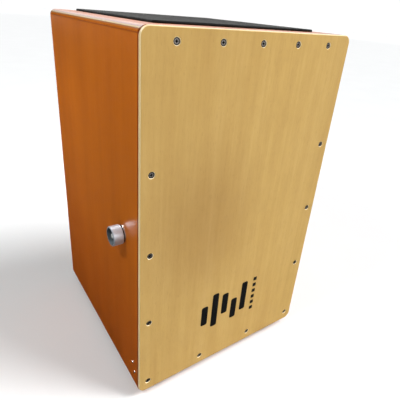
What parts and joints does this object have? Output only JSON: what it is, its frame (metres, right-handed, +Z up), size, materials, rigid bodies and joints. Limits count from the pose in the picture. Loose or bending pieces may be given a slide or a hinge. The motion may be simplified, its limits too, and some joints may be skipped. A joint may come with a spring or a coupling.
{
  "type": "cajon",
  "caption": "Wooden box drum with a pale screwed-on playing plate, stained rounded body, foam seat pad and a side knob that swings snare wires against the plate.",
  "frame": {"origin": "on the floor, at the centre of the footprint with the side knob counted in it, so the wooden body's own centre is 7.9 mm along +X", "axes": "+Z up, -Y out of the playing face towards the player's hands, +X to the right as seen from in front"},
  "size_m": [0.3162, 0.3102, 0.4985],
  "materials": {
    "side_ply_left": "stained and lacquered plywood",
    "side_ply_right": "stained and lacquered plywood",
    "seat_ply": "stained and lacquered plywood",
    "bottom_ply": "stained plywood",
    "back_ply": "stained and lacquered thin plywood",
    "front_veneer": "clear satin lacquer over pale veneer",
    "batten_wood": "planed softwood",
    "rod_wood": "turned beech",
    "block_wood": "hardwood block",
    "plate_screw_steel": "dark zinc",
    "pin_steel": "bright",
    "foam_rubber": "black closed-cell foam",
    "black_print": "matt black print",
    "foot_rubber": "moulded black rubber",
    "zinc_steel": "zinc plated",
    "flange_chrome": "bright plated",
    "nylon": "natural nylon",
    "knob_aluminium": "satin turned",
    "knob_black": "black moulded",
    "knob_screw_steel": "bright",
    "snare_steel": "bright coiled wire",
    "snare_plate": "plain brass"
  },
  "bodies": {
    "box": {"adjuster_bushing": "flange_chrome", "adjuster_friction_washer": "nylon", "adjuster_inner_washer": "zinc_steel", "adjuster_nut": "zinc_steel", "back_panel": "back_ply", "bearing_block_screws": "zinc_steel", "bottom_panel": "bottom_ply", "foot_screws": "zinc_steel", "foot_washers": "zinc_steel", "front_batten_bottom": "batten_wood", "front_batten_left": "batten_wood", "front_batten_right": "batten_wood", "front_batten_top": "batten_wood", "front_emblem": "black_print", "front_plate": "front_veneer", "front_plate_screws": "plate_screw_steel", "left_side_panel": "side_ply_left", "rear_batten_bottom": "batten_wood", "rear_batten_left": "batten_wood", "rear_batten_right": "batten_wood", "rear_batten_top": "batten_wood", "right_side_panel": "side_ply_right", "rod_bearing_block": "block_wood", "rubber_foot_front_left": "foot_rubber", "rubber_foot_front_right": "foot_rubber", "rubber_foot_rear_left": "foot_rubber", "rubber_foot_rear_right": "foot_rubber", "seat_pad": "foam_rubber", "seat_panel": "seat_ply", "side_panel_pins": "pin_steel"},
    "snare_adjuster": {"knob_shell": "knob_aluminium", "knob_core": "knob_black", "knob_screw": "knob_screw_steel", "adjuster_stud": "zinc_steel", "snare_rod": "rod_wood", "snare_rod_pivot_pin": "zinc_steel", "snare_wires_left": "snare_steel", "snare_wires_right": "snare_steel", "snare_lower_plates": "snare_plate", "snare_upper_plates": "snare_plate", "snare_plate_screws": "zinc_steel"}
  },
  "joints": [
    {"name": "snare_adjust", "type": "hinge", "parent": "box", "child": "snare_adjuster", "pos_m": [0.0079, -0.1057, 0.2517], "axis": [-1, 0, 0], "range_deg": [0, 40]}
  ]
}
